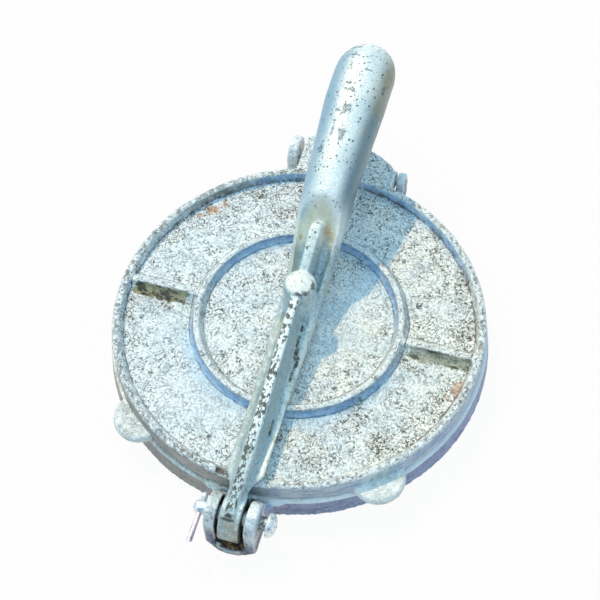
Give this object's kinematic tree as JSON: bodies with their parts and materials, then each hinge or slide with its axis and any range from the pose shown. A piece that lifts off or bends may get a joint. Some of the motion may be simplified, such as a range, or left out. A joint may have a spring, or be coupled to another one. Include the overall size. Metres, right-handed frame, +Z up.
{
  "type": "tortilla press",
  "caption": "Cast-aluminium press with a round base, a hinged ribbed top plate and a folding lever that squeezes dough flat between the plates.",
  "frame": {"origin": "centre of the round plates, on the surface the press stands on", "axes": "+Z up; +Y towards the plate hinge and the end of the handle; +X to the cook's right with the lever's pin nearest the cook"},
  "size_m": [0.183, 0.2561, 0.0753],
  "materials": {
    "base": "as-cast, dulled, grimy in the corners",
    "top_plate": "as-cast sandy grain, bright, with grime beside the ribs",
    "lever": "as-cast, handle rubbed smooth",
    "lever_pin": "dull steel, browned shank",
    "split_pin": "drawn steel wire",
    "hinge_pin": "dull steel, light rust"
  },
  "bodies": {
    "base": {"base": "base", "lever_pin": "lever_pin", "split_pin": "split_pin", "hinge_pin": "hinge_pin"},
    "top_plate": {"top_plate": "top_plate"},
    "lever": {"lever": "lever"}
  },
  "joints": [
    {"name": "lever_swing", "type": "hinge", "parent": "base", "child": "lever", "pos_m": [0, -0.1025, 0.017], "axis": [1, 0, 0], "range_deg": [0, 165]},
    {"name": "plate_open", "type": "hinge", "parent": "base", "child": "top_plate", "pos_m": [0, 0.097, 0.0135], "axis": [-1, 0, 0], "range_deg": [0, 18.4]}
  ],
  "couplings": [
    {"joint": "plate_open", "follows": "lever_swing", "ratio": 0.11111}
  ]
}
